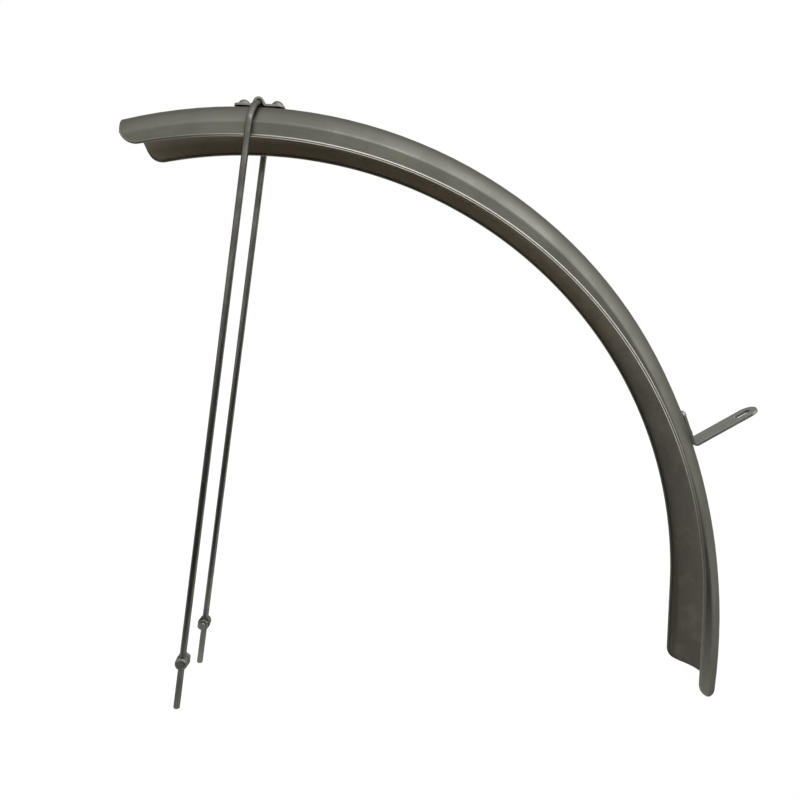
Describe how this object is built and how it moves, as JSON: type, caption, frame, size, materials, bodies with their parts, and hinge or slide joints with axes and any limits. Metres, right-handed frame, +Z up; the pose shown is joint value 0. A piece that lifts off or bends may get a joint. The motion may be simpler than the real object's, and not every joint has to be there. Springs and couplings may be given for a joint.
{
  "type": "bicycle mudguard",
  "caption": "Short front bicycle mudguard: curved steel blade with rolled edges, a bent wire stay held by a riveted bridge, and a slotted fork-crown bracket.",
  "frame": {"origin": "middle of the slot in the fork-crown tab, on the forward face that lies against the fork crown", "axes": "+X ahead, in the plane of the wheel; +Y along the wheel's axle to the rider's left; +Z up as the part stands on its stay ends and front end in the picture"},
  "size_m": [0.4469, 0.0762, 0.4236],
  "materials": {
    "blade_steel": "satin, dull from use",
    "stay_wire": "drawn wire, satin",
    "pressed_fittings": "satin",
    "fasteners": "polished by handling"
  },
  "bodies": {
    "root": {"blade": "blade_steel", "stay": "stay_wire", "stay_bridge": "pressed_fittings", "bridge_rivet_front": "fasteners", "bridge_rivet_rear": "fasteners", "crown_bracket": "pressed_fittings", "bracket_rivet_front": "fasteners", "bracket_rivet_rear": "fasteners", "right_eyebolt": "fasteners", "right_washer": "fasteners", "right_nut": "fasteners", "left_eyebolt": "fasteners", "left_washer": "fasteners", "left_nut": "fasteners"}
  },
  "joints": []
}
